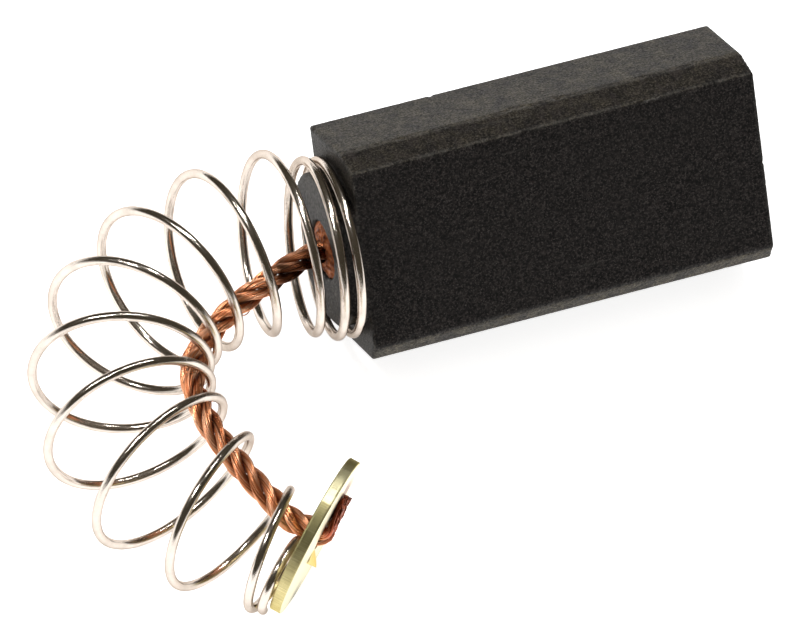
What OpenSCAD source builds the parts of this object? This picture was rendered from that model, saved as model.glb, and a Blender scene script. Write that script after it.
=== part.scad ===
// Carbon motor brush: carbon block with a round spring seat, a curled pressure
// spring, a rope-laid copper shunt tamped into the carbon, and a brass contact disc.
// Origin: centre of the contact face. +X points out of the contact face, +Z is up
// with the brush lying on one long edge of the carbon and on the spring.

/* [Carbon block] */
// Length of the carbon from the spring shoulder to the contact face
block_length = 22; // [17:0.5:30]
// Width of the carbon across its wide faces
block_width = 11.2; // [10.2:0.1:14]
// Thickness of the carbon between its wide faces
block_thickness = 6.2; // [5:0.1:8.4]
// Long top bevel, measured across the thickness
bevel_across = 1.6; // [0.4:0.1:2]
// Long top bevel, measured down the width
bevel_down = 0.6; // [0.3:0.1:2]
// Long bottom chamfer, measured across the thickness
chamfer_across = 0.75; // [0.2:0.05:1.5]
// Long bottom chamfer, measured up the width
chamfer_up = 0.85; // [0.2:0.05:1.5]

/* [Spring seat] */
// Diameter of the round seat that the first coils grip
seat_diameter = 8.1; // [7:0.1:8.1]
// Height of the seat above the shoulder
seat_length = 1.1; // [0.6:0.1:1.2]

/* [Copper tamping] */
// Diameter of the hole that the shunt is tamped into
hole_diameter = 3.1; // [2.4:0.1:4]
// Depth of that hole from the seat's face
hole_depth = 5; // [4.8:0.1:8]
// Depth of the copper powder's surface below the seat's face
tamping_recess = 0.15; // [0.05:0.05:0.4]

/* [Shunt] */
// Diameter over the four strands
shunt_diameter = 1.3; // [1:0.05:1.3]
// Length along the rope for one full turn of a strand
lay_length = 5.4; // [5:0.1:8]

/* [Pressure spring] */
// Diameter of the spring wire
wire_diameter = 0.5; // [0.3:0.05:0.5]
// Mean diameter of the full coils
coil_diameter = 9; // [9:0.05:9.2]

/* [Contact disc] */
// Diameter of the brass disc
disc_diameter = 8.6; // [7:0.1:10]
// Thickness of the brass disc
disc_thickness = 0.6; // [0.4:0.05:0.6]
// Diameter of the disc's hole for the shunt
disc_hole = 1.7; // [1.7:0.05:2]
// Width of the lanced tongue beside the hole
tongue_width = 1.3; // [0.8:0.1:2]

/* [Hidden] */
$fn = 96;

// Roll of the carbon about X as it lies, and tilt of the curl's plane
block_roll = -34.5;
curl_tilt = 4.9;

// The curl's frame: u runs out of the shoulder, v towards the inside of the
// curl's far end, w across the curl, with its origin at the shoulder's centre.
module curl_frame()
    translate([-block_length, 0, 0]) rotate([curl_tilt, 0, 0]) rotate([0, 0, 180]) children();

function dot(a, b) = a * b;
function unit(a) = a / norm(a);
function smooth(x) = let (t = min(1, max(0, x))) t * t * (3 - 2 * t);
// a table read with its corners rounded over h on each side
function eased(x, table, h) = (lookup(x - h, table) + lookup(x - h / 2, table) + lookup(x, table)
    + lookup(x + h / 2, table) + lookup(x + h, table)) / 5;

// ---- the spring's centre line -------------------------------------------
// distance along the centre line, and its heading away from -X in degrees
heading = [[-1, 2], [0, -2.5], [0.5, -6], [1, -7.5], [2.5, -4], [3.5, 0.5], [6, 5], [8.5, 22.5], [11, 36.5], [13.5, 58.5],
           [16, 78], [18.5, 95.5], [21, 110], [24, 120.5], [29.2, 132.5], [31, 136.5]];
// number of the turn, and the distance along the centre line where it is
advance = [[-1, -0.6], [0, 0], [1, 0.6], [2.15, 1.65], [2.75, 2.95], [3.75, 6.5], [5.45, 11.5], [7.2, 16.5],
           [8.6, 21], [9.7, 25], [10.45, 28.2], [11.2, 29.1], [13, 29.15]];
// number of the turn, and the coil's mean radius as a share of the full one
coil_share = [[0, 1], [3, 1], [5, 0.975], [7.5, 1.01], [9, 1], [10, 0.79], [10.75, 0.6], [11.1, 0.43], [12, 0.43]];
turns = 11.75;
coil_start = 304;      // where the wire begins round the seat, in degrees
start_gap = 0.03;      // between the first coil and the shoulder
lift_v = -1.35;        // the open coils stand off the seat's axis by this much in v
lift_w = -0.8;         // and by this much in w
end_drop = 0.8;        // the last coil slips this far down the disc, clear of the shunt
step = 0.1;            // spacing of the centre line's computed points
line_n = 300;

start_u = wire_diameter / 2 + start_gap;
line = [for (i = 0, p = [start_u, 0]; i <= line_n; i = i + 1,
    p = p + step * [cos(eased((i - 0.5) * step, heading, 0.5)), sin(eased((i - 0.5) * step, heading, 0.5))]) p];
function line_at(s) = let (x = min(line_n - 0.001, max(0, s / step)), i = floor(x))
    line[i] + (x - i) * (line[i + 1] - line[i]);
function lift(s) = smooth((s - 0.6) / 2.2);
function drop(t) = end_drop * smooth((t - 10.55) / 0.55);
function dist_at(t) = eased(t, advance, 0.15) - eased(0, advance, 0.15);
function outward_at(t) = let (a = eased(dist_at(t), heading, 0.5), f = 360 * t + coil_start)
    [-sin(a) * cos(f), cos(a) * cos(f), sin(f)];
function wire_at(t) = let (s = dist_at(t), a = eased(s, heading, 0.5), c = line_at(s),
    r = coil_diameter / 2 * eased(t, coil_share, 0.2), f = 360 * t + coil_start, q = r * cos(f) - drop(t))
    [c[0] - sin(a) * q, c[1] + cos(a) * q + lift_v * lift(s), r * sin(f) + lift_w * lift(s)];

// ---- the shunt's route -----------------------------------------------------
// the disc's inner face in the curl's frame, its outward normal, and the way
// the shunt's tails are folded over on its outer face
disc_at = [7.2, 15.1, -0.3];
disc_turn = 133.5;
disc_tip = -3.5;
disc_roll = 30;
disc_out = [cos(disc_turn) * cos(disc_tip), sin(disc_turn) * cos(disc_tip), sin(disc_tip)];
disc_up = [-sin(disc_turn), cos(disc_turn), 0];
tail_dir = cos(disc_roll) * disc_up + sin(disc_roll) * cross(disc_out, disc_up);
tail_side = cross(disc_out, tail_dir);
hole_off = 0.2;        // the disc's hole lies this far from its centre, towards the tails
hole_at = disc_at + hole_off * tail_dir;
function tail(out, along) = hole_at + out * disc_out + along * tail_dir;
approach = [[-4.2, 0, 0], [-3.4, 0, 0], [-2.4, 0, 0], [-1.2, 0, 0], [0, 0, 0], [1.2, 0, -0.05], [2.4, 0.2, -0.15],
    [3.55, 0.5, -0.35], [4.7, 0.9, -0.5], [5.85, 1.35, -0.6], [7.1, 2, -0.65], [8.4, 2.9, -0.75],
    [9.45, 4.05, -0.7], [9.95, 5.3, -0.5], [10.05, 6.45, -0.35], [10.05, 7.55, -0.25], [9.85, 8.65, -0.2],
    [9.55, 9.8, -0.2], [9.2, 10.95, -0.15], [8.8, 12, -0.2], [8.45, 12.85, -0.2], [8.15, 13.65, -0.25], [7.75, 14.3, -0.25]];
fold = [[0, 0], [0.4, -0.05], [0.82, 0.15], [0.9, 0.7], [0.87, 1.2], [0.86, 1.7], [0.86, 2.2], [0.86, 2.65], [0.86, 3]];
route = concat(approach, [for (f = fold) tail(f[0], f[1])]);
function spline(p, q, r, s, t) = 0.5 * (2 * q + (r - p) * t + (2 * p - 5 * q + 4 * r - s) * t * t
    + (3 * q - p - 3 * r + s) * t * t * t);
per_span = 3;
spans = len(route) - 3;
path = [for (i = [0 : spans * per_span]) let (k = min(spans - 1, floor(i / per_span)), t = i / per_span - k)
    spline(route[k], route[k + 1], route[k + 2], route[k + 3], t)];
path_n = len(path);
run = [for (i = 0, a = 0; i < path_n; a = a + (i + 1 < path_n ? norm(path[i + 1] - path[i]) : 0), i = i + 1) a];
exit_ring = (len(approach) - 1) * per_span;   // the ring where the rope enters the disc's hole
function path_dir(i) = unit(path[min(path_n - 1, i + 1)] - path[max(0, i - 1)]);
// two directions across the rope, the first easing over to the tails' own side
function across(i) = let (b = smooth((run[i] - run[exit_ring] + 1.6) / 1.6), d = path_dir(i),
    s = (1 - b) * [0, 0, 1] + b * tail_side) unit(s - (s * d) * d);
strand_r = shunt_diameter * 0.19;
ring_r = shunt_diameter * 0.31;
fan_w = [0.84, -0.28, -0.84, 0.28];        // places of the four strands across the flattened head
function strand_angle(i, k) = 10 + 90 * k + 360 * (min(run[i], run[exit_ring]) - run[exit_ring]) / lay_length;
function strand_at(i, k) = let (f = smooth((run[i] - run[exit_ring] - 0.3) / 1.0), a = strand_angle(i, k), s = across(i),
    w = (1 - f) * ring_r * cos(a) + f * fan_w[k], n = (1 - f) * ring_r * sin(a))
    path[i] + w * s + n * cross(path_dir(i), s);
function strand_points(k) = [for (i = [0 : path_n - 1]) strand_at(i, k)];
function strand_refs() = [for (i = [0 : path_n - 1]) across(i)];

// a round bar swept along points, closed at both ends; each ring starts from
// the direction of its entry in refs, so the bar doesn't twist
module swept(pts, refs, r, sides) {
    n = len(pts);
    rings = [for (i = [0 : n - 1]) let (d = unit(pts[min(n - 1, i + 1)] - pts[max(0, i - 1)]),
        a = unit(refs[i] - (refs[i] * d) * d), b = cross(d, a))
        for (j = [0 : sides - 1]) pts[i] + r * (cos(360 * j / sides) * a + sin(360 * j / sides) * b)];
    faces = concat(
        [[for (j = [0 : sides - 1]) j]],
        [[for (j = [sides - 1 : -1 : 0]) (n - 1) * sides + j]],
        [for (i = [0 : n - 2]) for (j = [0 : sides - 1]) for (h = [0, 1]) let (m = (j + 1) % sides)
            h == 0 ? [i * sides + j, (i + 1) * sides + j, (i + 1) * sides + m]
                   : [i * sides + j, (i + 1) * sides + m, i * sides + m]]);
    polyhedron(points = rings, faces = faces, convexity = 12);
}

// ---- pieces ------------------------------------------------------------------
module block_section()
    polygon([[block_thickness / 2, -block_width / 2],
             [block_thickness / 2, block_width / 2],
             [-block_thickness / 2 + bevel_across, block_width / 2],
             [-block_thickness / 2, block_width / 2 - bevel_down],
             [-block_thickness / 2, -block_width / 2 + chamfer_up],
             [-block_thickness / 2 + chamfer_across, -block_width / 2]]);

module carbon_block()
    color([0.16, 0.155, 0.15])
    translate([-block_length, 0, 0]) rotate([block_roll, 0, 0])
    difference() {
        union() {
            rotate([90, 0, 90]) linear_extrude(block_length) block_section();
            // round seat, flush with the two wide faces
            intersection() {
                translate([-seat_length, 0, 0]) rotate([0, 90, 0]) cylinder(d = seat_diameter, h = seat_length + 1);
                translate([-seat_length, -block_thickness / 2, -block_width / 2])
                    cube([seat_length + 1, block_thickness, block_width]);
            }
        }
        translate([-seat_length - 1, 0, 0]) rotate([0, 90, 0]) cylinder(d = hole_diameter, h = hole_depth + 1);
    }

module copper_tamping()
    color([0.62, 0.3, 0.17])
    translate([-block_length - seat_length + tamping_recess, 0, 0]) rotate([0, 90, 0])
    difference() {
        cylinder(d = hole_diameter, h = hole_depth - tamping_recess);
        translate([0, 0, -1]) cylinder(d = shunt_diameter + 0.12, h = hole_depth - tamping_recess - 0.3 + 1);
    }

module shunt_strand(k)
    color([0.8, 0.43, 0.27])
    curl_frame() swept(strand_points(k), strand_refs(), strand_r, 8);

module pressure_spring()
    color([0.78, 0.76, 0.72])
    curl_frame() swept([for (i = [0 : 24 * turns]) wire_at(i / 24)],
        [for (i = [0 : 24 * turns]) outward_at(i / 24)], wire_diameter / 2, 8);

module contact_disc()
    color([0.8, 0.72, 0.42])
    curl_frame() translate(disc_at) rotate([0, 0, disc_turn]) rotate([0, 90 - disc_tip, 0]) rotate([0, 0, 90 + disc_roll]) {
        difference() {
            cylinder(d = disc_diameter, h = disc_thickness);
            translate([hole_off, 0, -1]) cylinder(d = disc_hole, h = disc_thickness + 2);
        }
        // lanced tongue, raised on the outer face beside the hole
        translate([0, tongue_width / 2, 0]) rotate([90, 0, 0]) linear_extrude(tongue_width)
            polygon([[hole_off - disc_hole / 2 - 0.03, disc_thickness - 0.1],
                     [hole_off - disc_hole / 2 - 0.03, disc_thickness + 0.1],
                     [-1.2, disc_thickness + 0.5], [-1.4, disc_thickness + 0.35],
                     [-1.1, disc_thickness - 0.1]]);
    }

carbon_block();
copper_tamping();
shunt_strand(0);  // shunt_strand_1
shunt_strand(1);  // shunt_strand_2
shunt_strand(2);  // shunt_strand_3
shunt_strand(3);  // shunt_strand_4
pressure_spring();
contact_disc();
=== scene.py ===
import math
import bpy
import bmesh
import numpy as np
from mathutils import Matrix, Vector, noise
from mathutils.bvhtree import BVHTree


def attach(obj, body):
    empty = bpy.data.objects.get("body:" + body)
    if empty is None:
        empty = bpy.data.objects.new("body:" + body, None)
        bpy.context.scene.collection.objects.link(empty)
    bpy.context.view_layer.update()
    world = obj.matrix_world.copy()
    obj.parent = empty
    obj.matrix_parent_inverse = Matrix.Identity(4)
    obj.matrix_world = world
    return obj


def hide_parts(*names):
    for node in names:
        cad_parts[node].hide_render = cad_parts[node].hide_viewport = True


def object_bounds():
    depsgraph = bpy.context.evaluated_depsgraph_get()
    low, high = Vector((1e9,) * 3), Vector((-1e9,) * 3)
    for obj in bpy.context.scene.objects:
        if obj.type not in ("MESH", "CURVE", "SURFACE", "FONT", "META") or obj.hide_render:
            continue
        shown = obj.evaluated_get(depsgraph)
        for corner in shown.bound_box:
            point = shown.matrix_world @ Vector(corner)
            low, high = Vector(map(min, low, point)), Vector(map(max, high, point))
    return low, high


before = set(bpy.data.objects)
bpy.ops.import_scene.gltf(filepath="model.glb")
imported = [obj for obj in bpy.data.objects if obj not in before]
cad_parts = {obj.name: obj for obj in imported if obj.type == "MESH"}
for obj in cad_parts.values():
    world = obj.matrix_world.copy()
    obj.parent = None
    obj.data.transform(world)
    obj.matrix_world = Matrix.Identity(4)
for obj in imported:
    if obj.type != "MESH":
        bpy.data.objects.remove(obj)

MM = 0.001
cad_lo, cad_hi = [[float(x) for x in c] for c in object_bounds()]
rng = np.random.default_rng(7)
scene = bpy.context.scene

# ---------------------------------------------------------------- camera
cam_data = bpy.data.cameras.new("camera")
cam_data.sensor_width = 36.0
cam_data.lens = 540.0
cam_data.clip_start = 0.05
cam_data.clip_end = 5.0
cam = bpy.data.objects.new("camera", cam_data)
scene.collection.objects.link(cam)
AX = np.array([[0.931945, -0.350582, 0.092579], [0.240748, 0.789178, 0.565012], [-0.271145, -0.504272, 0.819872]])
POS = np.array([-185.7364, -311.8826, 498.7078])
m = Matrix.Identity(4)
for r in range(3):
    for c in range(3):
        m[r][c] = AX[c][r]
    m[r][3] = POS[r] * MM
cam.matrix_world = m
scene.camera = cam
scene.view_settings.view_transform = "Standard"

# ---------------------------------------------------------------- the part's own curves, as in part.scad (mm)
BLOCK_L, BLOCK_W, BLOCK_T = 22.0, 11.2, 6.2
BLOCK_ROLL, CURL_TILT = math.radians(-34.5), math.radians(4.9)
SEAT_D, SEAT_L, HOLE_D, RECESS = 8.1, 1.1, 3.1, 0.15
SHUNT_D, LAY = 1.3, 5.4
WIRE_D, COIL_D = 0.5, 9.0
DISC_D, DISC_T, DISC_HOLE = 8.6, 0.6, 1.7
HEADING = [[-1, 2], [0, -2.5], [0.5, -6], [1, -7.5], [2.5, -4], [3.5, 0.5], [6, 5], [8.5, 22.5], [11, 36.5], [13.5, 58.5],
           [16, 78], [18.5, 95.5], [21, 110], [24, 120.5], [29.2, 132.5], [31, 136.5]]
ADVANCE = [[-1, -0.6], [0, 0], [1, 0.6], [2.15, 1.65], [2.75, 2.95], [3.75, 6.5], [5.45, 11.5], [7.2, 16.5],
           [8.6, 21], [9.7, 25], [10.45, 28.2], [11.2, 29.1], [13, 29.15]]
SHARE = [[0, 1], [3, 1], [5, 0.975], [7.5, 1.01], [9, 1], [10, 0.79], [10.75, 0.6], [11.1, 0.43], [12, 0.43]]
TURNS, COIL_START, START_GAP, LIFT_V, LIFT_W, STEP, LINE_N = 11.75, 304.0, 0.03, -1.35, -0.8, 0.1, 300
END_DROP = 0.8


def look(x, table):
    t = np.asarray(table, float)
    return np.interp(x, t[:, 0], t[:, 1])


def eased(x, table, h):
    x = np.asarray(x, float)
    return (look(x - h, table) + look(x - h / 2, table) + look(x, table) + look(x + h / 2, table) + look(x + h, table)) / 5


def smooth(x):
    t = np.clip(x, 0, 1)
    return t * t * (3 - 2 * t)


def unit(a):
    a = np.asarray(a, float)
    return a / np.linalg.norm(a, axis=-1, keepdims=True)


_i = np.arange(1, LINE_N + 2)
_h = np.radians(eased((_i - 0.5) * STEP, HEADING, 0.5))
LINE = np.zeros((LINE_N + 2, 3))
LINE[0] = (WIRE_D / 2 + START_GAP, 0, 0)
LINE[1:, 0] = LINE[0, 0] + np.cumsum(np.cos(_h)) * STEP
LINE[1:, 1] = np.cumsum(np.sin(_h)) * STEP


def wire(t):
    """centre of the wire, and the outward direction, at each turn number t"""
    t = np.asarray(t, float)
    s = eased(t, ADVANCE, 0.15) - eased(0.0, ADVANCE, 0.15)
    a = np.radians(eased(s, HEADING, 0.5))
    x = np.clip(s / STEP, 0, LINE_N - 0.001)
    i = np.floor(x).astype(int)
    c = LINE[i] + (x - i)[:, None] * (LINE[i + 1] - LINE[i])
    r = COIL_D / 2 * eased(t, SHARE, 0.2)
    f = np.radians(360 * t + COIL_START)
    out = np.c_[-np.sin(a) * np.cos(f), np.cos(a) * np.cos(f), np.sin(f)]
    lift = smooth((s - 0.6) / 2.2)
    drop = END_DROP * smooth((t - 10.55) / 0.55)
    down = np.c_[np.sin(a), -np.cos(a), np.zeros_like(a)]
    return c + r[:, None] * out + drop[:, None] * down + lift[:, None] * np.array([0, LIFT_V, LIFT_W]), out


DISC_AT = np.array([7.2, 15.1, -0.3])
_t, _p, _r = math.radians(133.5), math.radians(-3.5), math.radians(30)
DISC_OUT = np.array([math.cos(_t) * math.cos(_p), math.sin(_t) * math.cos(_p), math.sin(_p)])
DISC_UP = np.array([-math.sin(_t), math.cos(_t), 0])
TAIL_DIR = math.cos(_r) * DISC_UP + math.sin(_r) * np.cross(DISC_OUT, DISC_UP)
TAIL_SIDE = np.cross(DISC_OUT, TAIL_DIR)
HOLE_OFF = 0.2
HOLE_AT = DISC_AT + HOLE_OFF * TAIL_DIR
APPROACH = [[-4.2, 0, 0], [-3.4, 0, 0], [-2.4, 0, 0], [-1.2, 0, 0], [0, 0, 0], [1.2, 0, -0.05], [2.4, 0.2, -0.15],
            [3.55, 0.5, -0.35], [4.7, 0.9, -0.5], [5.85, 1.35, -0.6], [7.1, 2, -0.65], [8.4, 2.9, -0.75],
            [9.45, 4.05, -0.7], [9.95, 5.3, -0.5], [10.05, 6.45, -0.35], [10.05, 7.55, -0.25], [9.85, 8.65, -0.2],
            [9.55, 9.8, -0.2], [9.2, 10.95, -0.15], [8.8, 12, -0.2], [8.45, 12.85, -0.2], [8.15, 13.65, -0.25],
            [7.75, 14.3, -0.25]]
FOLD = [[0, 0], [0.4, -0.05], [0.82, 0.15], [0.9, 0.7], [0.87, 1.2], [0.86, 1.7], [0.86, 2.2], [0.86, 2.65], [0.86, 3]]
ROUTE = np.array(APPROACH + [list(HOLE_AT + f[0] * DISC_OUT + f[1] * TAIL_DIR) for f in FOLD], float)


def curl(p):
    """curl frame (u, v, w) in mm to the shared frame in metres"""
    p = np.asarray(p, float)
    q = np.stack([-p[..., 0], -p[..., 1], p[..., 2]], -1)
    c, s = math.cos(CURL_TILT), math.sin(CURL_TILT)
    return np.stack([q[..., 0] - BLOCK_L, c * q[..., 1] - s * q[..., 2], s * q[..., 1] + c * q[..., 2]], -1) * MM


def block(p):
    """carbon frame (x, y, z) in mm to the shared frame in metres"""
    p = np.asarray(p, float)
    c, s = math.cos(BLOCK_ROLL), math.sin(BLOCK_ROLL)
    return np.stack([p[..., 0] - BLOCK_L, c * p[..., 1] - s * p[..., 2], s * p[..., 1] + c * p[..., 2]], -1) * MM


# ---------------------------------------------------------------- mesh helpers
def new_mesh(name, verts, faces, smooth_shade=True):
    me = bpy.data.meshes.new(name)
    me.from_pydata([tuple(map(float, v)) for v in verts], [], faces)
    me.validate()
    me.update()
    if smooth_shade:
        me.polygons.foreach_set("use_smooth", [True] * len(me.polygons))
    ob = bpy.data.objects.new(name, me)
    scene.collection.objects.link(ob)
    return ob


def attr(ob, name, values):
    a = ob.data.attributes.new(name, "FLOAT", "POINT")
    a.data.foreach_set("value", np.asarray(values, np.float32).ravel())


def tube(pts, refs, radius, sides, v0=0, round_ends=0.0):
    """rings round pts; returns verts, quads, caps and the ring number and angle of each vert"""
    pts = np.asarray(pts, float)
    n = len(pts)
    radius = np.broadcast_to(np.asarray(radius, float), (n,))
    d = np.zeros_like(pts)
    d[1:-1] = pts[2:] - pts[:-2]
    d[0] = pts[1] - pts[0]
    d[-1] = pts[-1] - pts[-2]
    d = unit(d)
    a = unit(refs - (refs * d).sum(1, keepdims=True) * d)
    b = np.cross(d, a)
    th = np.arange(sides) * 2 * math.pi / sides
    v = pts[:, None] + radius[:, None, None] * (np.cos(th)[None, :, None] * a[:, None] + np.sin(th)[None, :, None] * b[:, None])
    v = v.reshape(-1, 3)
    i, j = np.meshgrid(np.arange(n - 1), np.arange(sides), indexing="ij")
    k = (j + 1) % sides
    q = np.stack([i * sides + j, i * sides + k, (i + 1) * sides + k, (i + 1) * sides + j], -1).reshape(-1, 4) + v0
    f = [tuple(map(int, x)) for x in q]
    f.append(tuple(int(v0 + x) for x in range(sides - 1, -1, -1)))
    f.append(tuple(int(v0 + (n - 1) * sides + x) for x in range(sides)))
    ring = np.repeat(np.arange(n), sides)
    ang = np.tile(th, n)
    return v, f, ring, ang


def nz(p, scale, seed=0.0):
    """smooth noise in about -1..1 at each point of an array, in mm"""
    return np.array([noise.noise(Vector((x * scale + seed, y * scale - seed * 0.7, z * scale + seed * 1.3))) for x, y, z in p])


# ---------------------------------------------------------------- material helpers
class Mat:
    def __init__(self, name, **sockets):
        self.m = bpy.data.materials.new(name)
        self.m.use_nodes = True
        self.t = self.m.node_tree
        self.b = self.t.nodes["Principled BSDF"]
        for k, v in sockets.items():
            self.b.inputs[k.replace("_", " ")].default_value = v

    def node(self, kind, **props):
        n = self.t.nodes.new(kind)
        for k, v in props.items():
            setattr(n, k, v)
        return n

    def link(self, a, b):
        self.t.links.new(a, b)

    def coords(self, scale=(1, 1, 1), rot=(0, 0, 0)):
        tc = self.node("ShaderNodeTexCoord")
        mp = self.node("ShaderNodeMapping")
        mp.inputs["Scale"].default_value = scale
        mp.inputs["Rotation"].default_value = rot
        self.link(tc.outputs["Object"], mp.inputs["Vector"])
        return mp.outputs["Vector"]

    def uv(self, scale=(1, 1, 1)):
        tc = self.node("ShaderNodeTexCoord")
        mp = self.node("ShaderNodeMapping")
        mp.inputs["Scale"].default_value = scale
        self.link(tc.outputs["UV"], mp.inputs["Vector"])
        return mp.outputs["Vector"]

    def noise(self, vec, scale, detail=4.0, rough=0.6, distort=0.0):
        n = self.node("ShaderNodeTexNoise")
        n.inputs["Scale"].default_value = scale
        n.inputs["Detail"].default_value = detail
        n.inputs["Roughness"].default_value = rough
        n.inputs["Distortion"].default_value = distort
        self.link(vec, n.inputs["Vector"])
        return n.outputs["Fac"]

    def voronoi(self, vec, scale, feature="F1", rand=1.0):
        n = self.node("ShaderNodeTexVoronoi", feature=feature)
        n.inputs["Scale"].default_value = scale
        n.inputs["Randomness"].default_value = rand
        self.link(vec, n.inputs["Vector"])
        return n

    def ramp(self, fac, stops, mode="LINEAR"):
        n = self.node("ShaderNodeValToRGB")
        n.color_ramp.interpolation = mode
        els = n.color_ramp.elements
        while len(els) < len(stops):
            els.new(0.5)
        for e, (p, c) in zip(els, stops):
            e.position = p
            e.color = (c, c, c, 1) if np.isscalar(c) else (*c, 1)
        self.link(fac, n.inputs["Fac"])
        return n.outputs["Color"]

    def mix(self, fac, a, b, mode="MIX"):
        n = self.node("ShaderNodeMix", data_type="RGBA", blend_type=mode)
        if hasattr(fac, "links"):
            self.link(fac, n.inputs[0])
        else:
            n.inputs[0].default_value = fac
        for s, v in ((6, a), (7, b)):
            if hasattr(v, "links"):
                self.link(v, n.inputs[s])
            else:
                n.inputs[s].default_value = (*v, 1) if len(v) == 3 else v
        return n.outputs[2]

    def math(self, op, a, b=0.0):
        n = self.node("ShaderNodeMath", operation=op)
        for s, v in ((0, a), (1, b)):
            if hasattr(v, "links"):
                self.link(v, n.inputs[s])
            else:
                n.inputs[s].default_value = v
        return n.outputs[0]

    def attribute(self, name):
        return self.node("ShaderNodeAttribute", attribute_name=name).outputs["Fac"]

    def bump(self, height, strength, distance, prev=None):
        n = self.node("ShaderNodeBump")
        n.inputs["Strength"].default_value = strength
        n.inputs["Distance"].default_value = distance
        self.link(height, n.inputs["Height"])
        if prev is not None:
            self.link(prev, n.inputs["Normal"])
        return n.outputs["Normal"]

    def out(self, socket, value):
        self.link(value, self.b.inputs[socket])


# carbon: fine dark grain, speckles, light rubbed edges and scratches
carbon = Mat("carbon", Roughness=0.5, IOR=1.5, Specular_IOR_Level=0.12)
v = carbon.coords()
big = carbon.noise(v, 260, 5, 0.65)
fine = carbon.noise(v, 9000, 3, 0.7)
speck = carbon.voronoi(v, 6500)
base = carbon.ramp(fine, [(0.38, (0.0005, 0.0004, 0.0004)), (0.5, (0.003, 0.0027, 0.0026)), (0.64, (0.042, 0.036, 0.034))])
base = carbon.mix(carbon.ramp(big, [(0.35, 0.0), (0.7, 0.35)]), base, (0.013, 0.012, 0.011))
# lighter colour where this attribute is set: partly dust, partly painted light on the lit top face, the lit seat end
# face and the floor-lit bottom chamfer
dust_and_painted_light = carbon.attribute("dust_and_painted_light")
blotch = carbon.ramp(carbon.noise(v, 900, 7, 0.8), [(0.38, 0.05), (0.62, 1.0)])
base = carbon.mix(carbon.math("MULTIPLY", dust_and_painted_light, carbon.math("MULTIPLY", blotch, carbon.ramp(fine, [(0.36, 0.12), (0.64, 1.0)]))), base, (0.135, 0.115, 0.078))
base = carbon.mix(carbon.ramp(speck.outputs["Distance"], [(0.06, 0.55), (0.22, 0.0)]), base, (0.11, 0.098, 0.092))
worn = carbon.attribute("worn")
wmask = carbon.math("MULTIPLY", worn, carbon.ramp(carbon.noise(v, 2300, 4, 0.7), [(0.42, 0.0), (0.6, 1.0)]))
base = carbon.mix(wmask, base, (0.20, 0.19, 0.17))
# faint grinding marks across the wide face
gm = carbon.node("ShaderNodeMapping")
gm.inputs["Scale"].default_value = (3600, 330, 3600)
carbon.link(carbon.coords(rot=(-BLOCK_ROLL, 0, 0)), gm.inputs["Vector"])
marks = carbon.noise(gm.outputs["Vector"], 1.0, 2, 0.6)
base = carbon.mix(carbon.ramp(marks, [(0.48, 0.0), (0.68, 0.45)]), base, (0.034, 0.028, 0.026))
# scratches along the length of the carbon
sv = carbon.coords(scale=(90, 1500, 1500), rot=(0, 0, 0))
scr = carbon.ramp(carbon.noise(sv, 1.0, 3, 0.6), [(0.68, 0.0), (0.76, 0.25)])
base = carbon.mix(scr, base, (0.07, 0.067, 0.06))
carbon.out("Base Color", base)
carbon.out("Roughness", carbon.ramp(fine, [(0.3, 0.62), (0.7, 0.42)]))
nb = carbon.bump(fine, 0.5, 0.00003)
nb = carbon.bump(speck.outputs["Distance"], 0.2, 0.00003, nb)
carbon.out("Normal", nb)

# plated steel wire: bright, with faint drawing lines along it
steel = Mat("plated_wire", Metallic=1.0, Roughness=0.13)
steel.b.inputs["Specular Tint"].default_value = (0.52, 0.47, 0.43, 1)
u = steel.uv((1, 1, 1))
lines = steel.noise(steel.uv((70, 1.2, 1)), 1.0, 3, 0.6)
spots = steel.noise(steel.coords(), 900, 4, 0.6)
steel.out("Base Color", steel.ramp(spots, [(0.3, (0.56, 0.50, 0.44)), (0.55, (0.67, 0.60, 0.54)), (0.8, (0.74, 0.68, 0.61))]))
steel.out("Roughness", steel.ramp(lines, [(0.3, 0.08), (0.7, 0.24)]))
steel.out("Normal", steel.bump(lines, 0.18, 0.00003, steel.bump(spots, 0.12, 0.00003)))


def copper_material(name, hi, mid, lo, rough):
    c = Mat(name, Metallic=1.0)
    v = c.coords()
    tone = c.attribute("tone")
    painted_shade = c.attribute("painted_shade")
    n1 = c.noise(v, 900, 4, 0.6)
    col = c.ramp(tone, [(0.0, lo), (0.45, mid), (1.0, hi)])
    col = c.mix(c.ramp(n1, [(0.35, 0.0), (0.75, 0.5)]), col, lo)
    col = c.mix(c.math("MULTIPLY", c.attribute("tail"), 0.75), col, (0.50, 0.075, 0.045))
    # painted shade: darkened in the rope's grooves, near the tamping and on the folded tails
    col = c.mix(painted_shade, col, tuple(x * 0.22 for x in lo))
    c.out("Base Color", col)
    c.out("Roughness", c.ramp(n1, [(0.3, rough), (0.7, rough + 0.2)]))
    c.out("Normal", c.bump(c.noise(v, 5200, 3, 0.6), 0.35, 0.00002))
    return c


copper = copper_material("copper_strand", (1.0, 0.64, 0.42), (0.97, 0.42, 0.20), (0.50, 0.14, 0.05), 0.22)
tamp = copper_material("tamped_copper", (0.70, 0.32, 0.15), (0.36, 0.12, 0.045), (0.10, 0.028, 0.012), 0.5)

# brass disc: brushed faces, edge with sheared striations
brass = Mat("brass", Metallic=1.0, Roughness=0.25)
v = brass.coords()
rim = brass.attribute("rim")
th = brass.attribute("around")
strv = brass.node("ShaderNodeCombineXYZ")
brass.link(th, strv.inputs[0])
stri = brass.noise(strv.outputs[0], 1.0, 5, 0.7)
mott = brass.noise(v, 1500, 4, 0.65)
col = brass.ramp(mott, [(0.3, (0.60, 0.51, 0.24)), (0.55, (0.74, 0.65, 0.34)), (0.8, (0.86, 0.77, 0.46))])
col = brass.mix(brass.math("MULTIPLY", rim, brass.ramp(stri, [(0.4, 0.0), (0.62, 0.75)])), col, (0.28, 0.24, 0.11))
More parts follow.
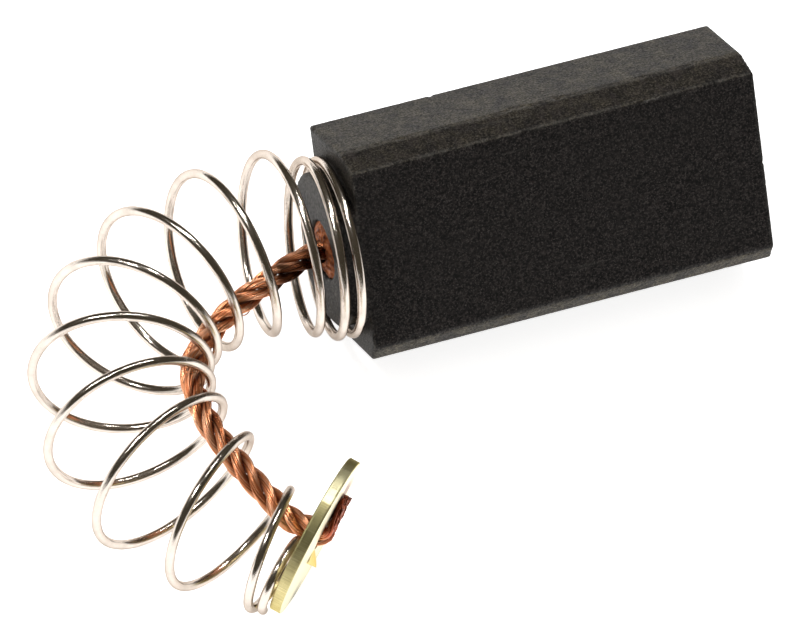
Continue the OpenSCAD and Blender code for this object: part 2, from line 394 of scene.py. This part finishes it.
# painted dark reflection along the rim's middle, then a painted bright reflection band
col = brass.mix(brass.math("MULTIPLY", brass.attribute("painted_rim_shade"), 0.8), col, (0.21, 0.19, 0.085))
col = brass.mix(brass.math("MULTIPLY", brass.attribute("painted_rim_highlight"), 0.8), col, (0.99, 0.94, 0.62))
# painted reflection: the outer face made paler, standing for the bright floor it reflects
col = brass.mix(brass.math("MULTIPLY", brass.attribute("painted_face_reflection"), 0.6), col, (0.97, 0.91, 0.74))
col = brass.mix(brass.math("MULTIPLY", brass.attribute("gold"), 0.85), col, (0.80, 0.64, 0.29))
# painted shade: a dark spot at the far edge of the outer face
col = brass.mix(brass.math("MULTIPLY", brass.attribute("painted_shade_spot"), 0.9), col, (0.05, 0.05, 0.045))
# painted reflection: the outer face darkened red-brown under the tails, standing for the copper tails reflected in it
col = brass.mix(brass.math("MULTIPLY", brass.attribute("painted_tail_reflection"), 0.85), col, (0.20, 0.05, 0.03))
brass.out("Base Color", col)
tint = brass.mix(brass.ramp(rim, [(0.0, 0.0), (0.5, 1.0)]), (1.0, 1.0, 0.95), (0.86, 0.76, 0.46))
brass.out("Specular Tint", brass.mix(brass.attribute("gold"), tint, (0.86, 0.72, 0.40)))
brass.out("Roughness", brass.math("ADD", brass.ramp(mott, [(0.3, 0.16), (0.7, 0.24)]), 0.2))
h = brass.math("MULTIPLY", rim, stri)
brass.out("Normal", brass.bump(mott, 0.06, 0.00002, brass.bump(h, 0.8, 0.00004)))

# ---------------------------------------------------------------- carbon block
VOX = 0.11


def block_mesh():
    """the CAD carbon, turned square and remeshed finely"""
    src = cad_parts["carbon_block"]
    co = np.empty(len(src.data.vertices) * 3)
    src.data.vertices.foreach_get("co", co)
    co = co.reshape(-1, 3) / MM
    c, s = math.cos(-BLOCK_ROLL), math.sin(-BLOCK_ROLL)
    loc = np.c_[co[:, 0] + BLOCK_L, c * co[:, 1] - s * co[:, 2], s * co[:, 1] + c * co[:, 2]]
    bm = bmesh.new()
    vs = [bm.verts.new(p) for p in loc]
    for p in src.data.polygons:
        try:
            bm.faces.new([vs[i] for i in p.vertices])
        except ValueError:
            pass
    bmesh.ops.remove_doubles(bm, verts=bm.verts, dist=1e-4)
    bmesh.ops.recalc_face_normals(bm, faces=bm.faces)
    me = bpy.data.meshes.new("carbon_body")
    bm.to_mesh(me)
    bm.free()
    ob = bpy.data.objects.new("carbon_body", me)
    scene.collection.objects.link(ob)
    mod = ob.modifiers.new("r", "REMESH")
    mod.mode = "VOXEL"
    mod.voxel_size = VOX
    mod.use_smooth_shade = True
    dg = bpy.context.evaluated_depsgraph_get()
    me2 = bpy.data.meshes.new_from_object(ob.evaluated_get(dg))
    ob.modifiers.clear()
    ob.data = me2
    return ob


carbon_ob = block_mesh()
me = carbon_ob.data
n = len(me.vertices)
co = np.empty(n * 3)
me.vertices.foreach_get("co", co)
co = co.reshape(-1, 3)
# distance of each vertex to the nearest long or end edge of the carbon
sec = np.array([[BLOCK_T / 2, -BLOCK_W / 2], [BLOCK_T / 2, BLOCK_W / 2], [-BLOCK_T / 2 + 1.6, BLOCK_W / 2],
                [-BLOCK_T / 2, BLOCK_W / 2 - 0.6], [-BLOCK_T / 2, -BLOCK_W / 2 + 0.85], [-BLOCK_T / 2 + 0.75, -BLOCK_W / 2]])
yz = co[:, 1:]
to_long = np.min(np.linalg.norm(yz[:, None] - sec[None], axis=2), axis=1)
perim = np.full(n, 1e9)
for k in range(6):
    a, b = sec[k], sec[(k + 1) % 6]
    t = np.clip(((yz - a) @ (b - a)) / ((b - a) @ (b - a)), 0, 1)
    perim = np.minimum(perim, np.linalg.norm(yz - (a + t[:, None] * (b - a)), axis=1))
to_end = np.minimum(np.hypot(perim, co[:, 0]), np.hypot(perim, BLOCK_L - co[:, 0]))
edge = np.minimum(to_long, to_end)
rad = np.hypot(co[:, 1], co[:, 2])
seat_edge = np.where(co[:, 0] < -0.3, np.hypot(rad - SEAT_D / 2, co[:, 0] + SEAT_L), 9)
edge = np.minimum(edge, seat_edge)
nrm = np.empty(n * 3)
me.vertices.foreach_get("normal", nrm)
nrm = nrm.reshape(-1, 3)
near = edge < 0.9
chip = np.zeros(n)
chip[near] = nz(co[near], 1.1, 3.1) * 0.6 + nz(co[near], 3.4, 8.2) * 0.5
grain = np.zeros(n)
grain[:] = nz(co, 4.2, 1.7) * 0.5 + nz(co, 9.0, 5.5) * 0.5
wear = 0.035 * np.clip(1 - edge / 0.16, 0, 1) + np.clip(chip - 0.36, 0, 1) * 0.5 * np.clip(1 - edge / 0.42, 0, 1)
depth = wear + 0.012 + 0.011 * grain
inside_hole = (rad < HOLE_D / 2 + 0.02) & (co[:, 0] < 4.0)
depth[inside_hole] = 0.0
co2 = co - nrm * depth[:, None]
new = block(co2)
me.vertices.foreach_set("co", new.ravel())
worn = np.clip(1 - edge / 0.2, 0, 1) * 0.22 + np.clip((wear - 0.05) * 7, 0, 0.8)
attr(carbon_ob, "worn", np.clip(worn, 0, 1))
# dust on the narrow face that lies uppermost and its edges, together with painted light: the top face lighter as it is
# lit from above, the bottom chamfer lighter as it is lit from the floor below, and the seat's end face lighter as it is
# lit from the side
dust_and_light_v = 0.25 + 0.4 * np.clip((nrm[:, 2] - 0.92) / 0.07, 0, 1)
dust_and_light_v[nrm[:, 2] < 0.85] = 0.08 * (nrm[nrm[:, 2] < 0.85][:, 2] > 0.5)
dust_and_light_v = np.maximum(dust_and_light_v, 0.5 * np.clip(1 - edge / 0.5, 0, 1) * (nrm[:, 2] > 0.5))
dust_and_light_v = np.maximum(dust_and_light_v, 1.0 * np.clip((-nrm[:, 2] - 0.45) / 0.15, 0, 1) * np.clip((-nrm[:, 1] - 0.45) / 0.15, 0, 1))
dust_and_light_v = np.maximum(dust_and_light_v, 0.25 * np.clip((-nrm[:, 0] - 0.8) / 0.15, 0, 1))
attr(carbon_ob, "dust_and_painted_light", dust_and_light_v)
me.polygons.foreach_set("use_smooth", [True] * len(me.polygons))
me.update()
me.materials.clear()
me.materials.append(carbon.m)
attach(carbon_ob, "root")
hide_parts("carbon_block")

# ---------------------------------------------------------------- pressure spring
t = np.linspace(0, TURNS, int(TURNS * 96) + 1)
pts, outw = wire(t)
verts, faces, ring, ang = tube(pts, outw, WIRE_D / 2, 14)
spring_ob = new_mesh("spring_wire_coil", np.clip(curl(verts), cad_lo, cad_hi), faces)
uvl = spring_ob.data.uv_layers.new(name="UVMap")
arc = np.r_[0, np.cumsum(np.linalg.norm(np.diff(pts, axis=0), axis=1))]
vi = np.empty(len(spring_ob.data.loops), int)
spring_ob.data.loops.foreach_get("vertex_index", vi)
uvl.data.foreach_set("uv", np.c_[ang[vi] / (2 * math.pi), arc[ring[vi]] / 20].ravel())
spring_ob.data.materials.append(steel.m)
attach(spring_ob, "root")
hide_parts("pressure_spring")

# ---------------------------------------------------------------- shunt: four strands of fine wires
PER = 10


def spline_path():
    out = []
    for k in range(len(ROUTE) - 3):
        p, q, r, s = ROUTE[k:k + 4]
        for t in np.arange(PER) / PER:
            out.append(0.5 * (2 * q + (r - p) * t + (2 * p - 5 * q + 4 * r - s) * t * t + (3 * q - p - 3 * r + s) * t ** 3))
    out.append(ROUTE[-2])
    return np.array(out)


PATH = spline_path()
RUN = np.r_[0, np.cumsum(np.linalg.norm(np.diff(PATH, axis=0), axis=1))]
# equal steps along the rope
RUN_EXIT = RUN[(len(APPROACH) - 1) * PER]
S = np.arange(0, RUN[-1], 0.17)
PATH = np.stack([np.interp(S, RUN, PATH[:, k]) for k in range(3)], 1)
TAN = unit(np.gradient(PATH, axis=0))
_b = smooth((S - RUN_EXIT + 1.6) / 1.6)[:, None]
ACROSS = (1 - _b) * np.array([0, 0, 1.0]) + _b * TAIL_SIDE
ACROSS = unit(ACROSS - (ACROSS * TAN).sum(1, keepdims=True) * TAN)
OVER = np.cross(TAN, ACROSS)
STRAND_R, RING_R = SHUNT_D * 0.19, SHUNT_D * 0.31
FAN = [0.84, -0.28, -0.84, 0.28]
RED = smooth((S - RUN_EXIT - 0.5) / 0.6)
ABOVE = np.array([-0.24, -0.835, 0.495])
FLAT = smooth((S - RUN_EXIT - 0.3) / 1.0)
TAILS = smooth((S - RUN_EXIT - 1.0) / 0.6)


def strand_centre(k):
    a = np.radians(10 + 90 * k + 360 * (np.minimum(S, RUN_EXIT) - RUN_EXIT) / LAY)
    w = (1 - FLAT) * RING_R * np.cos(a) + FLAT * FAN[k]
    h = (1 - FLAT) * RING_R * np.sin(a)
    return PATH + w[:, None] * ACROSS + h[:, None] * OVER


def wire_layout():
    """places of the fine wires across a strand: one in the middle and two rings"""
    out = [(0.0, 0.0)]
    out += [(0.098, 2 * math.pi * i / 6) for i in range(6)]
    out += [(0.197, 2 * math.pi * (i + 0.5) / 13) for i in range(13)]
    return out


for k in range(4):
    c = strand_centre(k)
    d = unit(np.gradient(c, axis=0))
    a0 = unit(ACROSS - (ACROSS * d).sum(1, keepdims=True) * d)
    b0 = np.cross(d, a0)
    V, Fc, tone, painted_shade, tail = [], [], [], [], []
    nv = 0
    for q, (rr, ph) in enumerate(wire_layout()):
        seed = rng.uniform(0, 50)
        wob = np.array([noise.noise(Vector((s * 0.55, seed, k))) for s in S])
        wob2 = np.array([noise.noise(Vector((seed, s * 0.8, 4.0 + k))) for s in S])
        # the fine wires turn the other way to the strands, so they run near the rope's own line
        ang = ph - 2 * math.pi * S / (LAY * 1.15) + wob * 0.35
        loose = 1 + 0.10 * wob2
        r_here = rr * loose
        x = r_here * np.cos(ang)
        y = r_here * np.sin(ang)
        # flattened where the tails are folded over
        x = x * (1 + 0.25 * FLAT)
        y = y * (1 - 0.35 * FLAT)
        rf = np.array([noise.noise(Vector((s * 2.6, seed * 1.7, 9.0 + k))) for s in S]) * TAILS
        rg = np.array([noise.noise(Vector((seed * 2.1, s * 2.2, 5.0 - k))) for s in S]) * TAILS
        p = c + (x + 0.12 * rg)[:, None] * a0 + y[:, None] * b0 + (0.09 * rf - 0.05 * TAILS)[:, None] * DISC_OUT
        end = len(S) - int(rng.integers(0, 5)) - 1
        rad = np.full(end, 0.052)
        v, f, ring, th_ = tube(p[:end], a0[:end], rad, 6, nv)
        V.append(v)
        Fc += f
        nv += len(v)
        tn = 0.5 + 0.5 * rng.uniform(-1, 1)
        tone.append(np.full(len(v), np.clip(0.25 + 0.65 * tn, 0, 1)))
        rr_v = np.full(len(v), rr)
        # painted shade: darker where the strands meet in the rope's heart
        cen = np.repeat(PATH[:end], 6, axis=0)
        dist = np.linalg.norm(v - cen, axis=1)
        dp = np.clip((0.60 - dist) / 0.22, 0, 1) * 0.62
        sv_ = np.repeat(S[:end], 6)
        # painted shade: dark where it leaves the tamping, darker on its lower side, and on the folded tails
        dp = np.maximum(dp, 0.62 * (1 - smooth((sv_ - 6.8) / 1.6)))
        low = -(unit(v - cen) @ ABOVE)
        dp = np.maximum(dp, 0.95 * (1 - smooth((sv_ - 7.0) / 1.3)) * smooth((low + 0.7) / 0.6))
        tl = np.repeat(TAILS[:end], 6)
        dark = np.clip(0.60 + 0.6 * np.repeat(rf[:end], 6) + 0.35 * np.repeat(rg[:end], 6), 0.15, 0.95)
        dp = (1 - tl) * np.where(np.repeat(FLAT[:end], 6) > 0.2, 0.25, dp) + tl * dark
        painted_shade.append(dp)
        tail.append(np.repeat(RED[:end], 6))
    ob = new_mesh(f"shunt_wires_{k + 1}", curl(np.vstack(V)), Fc)
    attr(ob, "tone", np.concatenate(tone))
    attr(ob, "painted_shade", np.concatenate(painted_shade))
    attr(ob, "tail", np.concatenate(tail))
    ob.data.materials.append(copper.m)
    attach(ob, "root")
    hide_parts(f"shunt_strand_{k + 1}")

# a few loose wires that stand off the rope
V, Fc, tone, nv = [], [], [], 0
for (s0, s1, ang0, rise) in ((20.9, 22.5, 2.3, 0.10), (23.0, 24.2, 0.4, 0.09), (9.5, 11.1, 4.2, 0.08), (13.4, 15.0, 1.2, 0.08)):
    idx = np.where((S > s0) & (S < s1))[0]
    x = (S[idx] - s0) / (s1 - s0)
    r = 0.62 + rise * np.sin(math.pi * x) ** 1.5
    a = ang0 + 2 * math.pi * (S[idx] - s0) / LAY
    p = PATH[idx] + (r * np.cos(a))[:, None] * ACROSS[idx] + (r * np.sin(a))[:, None] * OVER[idx]
    v, f, ring, th_ = tube(p, ACROSS[idx], np.full(len(idx), 0.034), 6, nv)
    V.append(v)
    Fc += f
    nv += len(v)
    tone.append(np.full(len(v), 0.8))
ob = new_mesh("shunt_loose_wires", curl(np.vstack(V)), Fc)
attr(ob, "tone", np.concatenate(tone))
attr(ob, "painted_shade", np.zeros(nv))
ob.data.materials.append(copper.m)
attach(ob, "root")

# ---------------------------------------------------------------- tamped copper round the shunt
NR, NA = 26, 96
V, Fc, tone = [], [], []
rows = [(0.66, -0.75)]
rows += [(r, None) for r in np.linspace(0.6, HOLE_D / 2 - 0.03, NR)]
for i, (r, x) in enumerate(rows):
    for j in range(NA):
        a = 2 * math.pi * j / NA
        y, z = r * math.cos(a), r * math.sin(a)
        if x is None:
            g = noise.noise(Vector((y * 3.6, z * 3.6, 1.0))) * 0.5 + noise.noise(Vector((y * 9, z * 9, 6.0))) * 0.35
            cell = noise.cell(Vector((y * 6.0, z * 6.0, 2.0)))
            hump = 0.16 * math.exp(-((r - 0.75) / 0.45) ** 2)
            edge_fall = 0.10 * max(0.0, (r - 1.3) / 0.25)
            xx = -SEAT_L + RECESS - 0.02 - hump + edge_fall + 0.10 * g + 0.05 * (cell - 0.5)
            tone.append(0.5 + 0.5 * g + 0.3 * (cell - 0.5))
        else:
            xx = -SEAT_L + RECESS + 0.5
            tone.append(0.2)
        V.append((xx, y, z))
for i in range(len(rows) - 1):
    for j in range(NA):
        k = (j + 1) % NA
        Fc.append((i * NA + j, (i + 1) * NA + j, (i + 1) * NA + k, i * NA + k))
# the side of the plug, down in the hole
base_i = (len(rows) - 1) * NA
for j in range(NA):
    a = 2 * math.pi * j / NA
    V.append((2.0, (HOLE_D / 2 - 0.03) * math.cos(a), (HOLE_D / 2 - 0.03) * math.sin(a)))
    tone.append(0.2)
for j in range(NA):
    k = (j + 1) % NA
    Fc.append((base_i + j, base_i + NA + j, base_i + NA + k, base_i + k))
ob = new_mesh("tamped_copper_plug", block(np.array(V)), Fc)
attr(ob, "tone", np.clip(tone, 0, 1))
attr(ob, "painted_shade", np.zeros(len(V)))
ob.data.materials.append(tamp.m)
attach(ob, "root")
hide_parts("copper_tamping")

# ---------------------------------------------------------------- contact disc
def disc_point(x, y, h):
    """x towards the tails, y across, h out of the inner face, in mm"""
    x, y, h = np.broadcast_arrays(x, y, h)
    return DISC_AT + x[..., None] * TAIL_DIR + y[..., None] * TAIL_SIDE + h[..., None] * DISC_OUT


NA = 240
R = DISC_D / 2
hr = DISC_HOLE / 2
prof = [(R, 0.05)]
rows = []
th = np.arange(NA) * 2 * math.pi / NA
fine = np.array([noise.noise(Vector((math.cos(a) * 40, math.sin(a) * 40, 0))) for a in th])
fine2 = np.array([noise.noise(Vector((math.cos(a) * 90, math.sin(a) * 90, 3))) for a in th])


def ringrow(r_out, h, share=1.0, rough=0.0, lip=0.0):
    """a loop a share of the way from the hole to the rim"""
    hx, hy = HOLE_OFF + hr * np.cos(th), hr * np.sin(th)
    ox, oy = r_out * np.cos(th), r_out * np.sin(th)
    x = hx + share * (ox - hx)
    y = hy + share * (oy - hy)
    return np.c_[x, y, np.full(NA, h) + rough * fine]


loops = []
rimflag = []
for sh in (0.0, 0.06, 0.2, 0.4, 0.6, 0.8, 0.93):
    loops.append(ringrow(R - 0.06, 0.0, sh)); rimflag.append(0)
for ro, hh in ((R - 0.05, 0.003), (R - 0.022, 0.018), (R - 0.006, 0.045), (R, 0.09)):
    loops.append(ringrow(ro, hh)); rimflag.append(1)
for hh in (0.16, 0.24, 0.32, 0.40, 0.47):
    lp = ringrow(R, hh)
    g = (-0.006 + 0.005 * fine + 0.004 * fine2)
    lp[:, 0] += g * np.cos(th)
    lp[:, 1] += g * np.sin(th)
    loops.append(lp); rimflag.append(1)
for ro, hh in ((R - 0.004, 0.53), (R - 0.02, 0.575), (R - 0.05, 0.596)):
    loops.append(ringrow(ro, hh)); rimflag.append(1 if hh < 0.59 else 0)
for sh in (0.93, 0.8, 0.6, 0.4, 0.2, 0.06, 0.0):
    loops.append(ringrow(R - 0.06, DISC_T, sh)); rimflag.append(0)
for hh in (0.58, 0.4, 0.2, 0.02):
    loops.append(ringrow(R, hh, 0.0)); rimflag.append(0)
L = np.vstack(loops)
Vd = disc_point(L[:, 0], L[:, 1], L[:, 2])
Fc = []
nl = len(loops)
for i in range(nl):
    i2 = (i + 1) % nl
    for j in range(NA):
        k = (j + 1) % NA
        Fc.append((i * NA + j, i * NA + k, i2 * NA + k, i2 * NA + j))
rimv = np.repeat(rimflag, NA).astype(float)
around = np.tile(th * 60.0, nl)
Vall = [Vd]
rim_all = [rimv]
ar_all = [around]
# lanced tongue: a curved strip cut free beside the hole and bent up
nt, nw = 14, 8
s = np.linspace(0, 1, nt)
top = []
x_t = HOLE_OFF - hr - 0.02 - s * 0.75
h_t = DISC_T - 0.02 + 0.50 * np.sin(s * 1.25) ** 1.15
half = 0.65 * (1 - 0.18 * s ** 3)
n0 = len(Vd)
Vt = []
for side_h in (0.0, -0.13):
    for i in range(nt):
        for j in range(nw):
            y = half[i] * (2 * j / (nw - 1) - 1)
            hh = h_t[i] + side_h + 0.04 * (1 - (2 * j / (nw - 1) - 1) ** 2)
            # one edge of the tongue stayed down when it was bent up
            hh -= 0.85 * (h_t[i] - DISC_T + 0.02) * j / (nw - 1)
            Vt.append((x_t[i], y, hh))
Vt = np.array(Vt)
Vall.append(disc_point(Vt[:, 0], Vt[:, 1], Vt[:, 2]))
rim_all.append(np.full(len(Vt), 0.5))
ar_all.append(np.zeros(len(Vt)))
half_n = nt * nw
for i in range(nt - 1):
    for j in range(nw - 1):
        a = n0 + i * nw + j
        Fc.append((a, a + 1, a + nw + 1, a + nw))
        b = a + half_n
        Fc.append((b, b + nw, b + nw + 1, b + 1))
edge_loop = [i * nw for i in range(nt)] + [(nt - 1) * nw + j for j in range(1, nw)] + [i * nw + nw - 1 for i in range(nt - 2, -1, -1)] + [j for j in range(nw - 2, 0, -1)]
for p, q in zip(edge_loop, edge_loop[1:] + edge_loop[:1]):
    Fc.append((n0 + p, n0 + q, n0 + q + half_n, n0 + p + half_n))
disc_ob = new_mesh("brass_disc", curl(np.vstack(Vall)), Fc)
bm = bmesh.new()
bm.from_mesh(disc_ob.data)
bmesh.ops.recalc_face_normals(bm, faces=bm.faces)
bm.to_mesh(disc_ob.data)
bm.free()
attr(disc_ob, "rim", np.concatenate(rim_all))
attr(disc_ob, "around", np.concatenate(ar_all))
nt_ = np.zeros(len(Vt))
# painted reflection: the outer face paler, standing for the bright floor it reflects
attr(disc_ob, "painted_face_reflection", np.r_[(rimv < 0.5) & (L[:, 2] > 0.59), nt_])
# painted reflection: red-brown under the tails, standing for the copper tails reflected in the outer face
painted_tail_reflection = ((L[:, 0] > 0.9) & (L[:, 0] < 3.0) & (np.abs(L[:, 1]) < 1.0) & (L[:, 2] > 0.5)).astype(float)
attr(disc_ob, "painted_tail_reflection", np.r_[painted_tail_reflection, nt_])
# painted shade: a dark spot at the far edge of the outer face
painted_shade_spot = np.exp(-((L[:, 0] + 3.2) / 0.55) ** 2 - ((L[:, 1] + 2.3) / 0.9) ** 2) * (L[:, 2] > 0.5)
attr(disc_ob, "painted_shade_spot", np.r_[painted_shade_spot, np.zeros(len(Vt))])
# painted dark reflection along the rim's middle and a painted bright reflection band towards the tails
attr(disc_ob, "painted_rim_shade", np.r_[look(L[:, 0], [[-3.3, 0], [-1.2, 0.6], [-0.4, 1], [1.4, 1], [1.74, 0.5], [1.8, 0], [3.9, 0], [4.15, 0.8]]) * rimv, nt_])
attr(disc_ob, "painted_rim_highlight", np.r_[look(L[:, 0], [[1.78, 0], [1.84, 1], [2.22, 1], [2.34, 0.75], [3.7, 0.75], [4.05, 0]]) * rimv, nt_])
attr(disc_ob, "gold", np.r_[np.zeros(len(L)), nt_ + 1])
disc_ob.data.materials.append(brass.m)
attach(disc_ob, "root")
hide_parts("contact_disc")

# ---------------------------------------------------------------- floor and light
floor_z = cad_lo[2]
fm = Mat("pale_floor", Roughness=0.9)
fm.b.inputs["Base Color"].default_value = (0.9, 0.9, 0.9, 1)
fm.b.inputs["Specular IOR Level"].default_value = 0.1
fm.b.inputs["Emission Color"].default_value = (1, 1, 1, 1)
fm.b.inputs["Emission Strength"].default_value = 0.86
floor = new_mesh("floor", [(-1.2, -1.2, floor_z), (1.2, -1.2, floor_z), (1.2, 1.2, floor_z), (-1.2, 1.2, floor_z)], [(0, 1, 2, 3)], False)
floor.data.materials.append(fm.m)

world = bpy.data.worlds.new("studio")
world.use_nodes = True
world.node_tree.nodes["Background"].inputs["Color"].default_value = (0.064, 0.056, 0.041, 1)
world.node_tree.nodes["Background"].inputs["Strength"].default_value = 1.0
scene.world = world


def area(name, pos, target, sx, sy, power, color=(1, 1, 1), glossy=True):
    ld = bpy.data.lights.new(name, "AREA")
    ld.shape = "RECTANGLE"
    ld.size, ld.size_y = sx, sy
    ld.energy = power
    ld.color = color
    ob = bpy.data.objects.new(name, ld)
    scene.collection.objects.link(ob)
    ob.location = pos
    ob.rotation_euler = (Vector(target) - Vector(pos)).to_track_quat("-Z", "Y").to_euler()
    ob.visible_glossy = glossy
    return ob


mid = (-0.02, -0.003, 0.0)
area("overhead", (-0.05, 0.05, 0.75), mid, 1.3, 1.3, 3.2, glossy=False)
area("lamp_left", (-0.26, 0.05, 0.42), mid, 0.075, 0.045, 1.0)
area("lamp_right", (0.10, 0.12, 0.44), mid, 0.075, 0.045, 0.8)
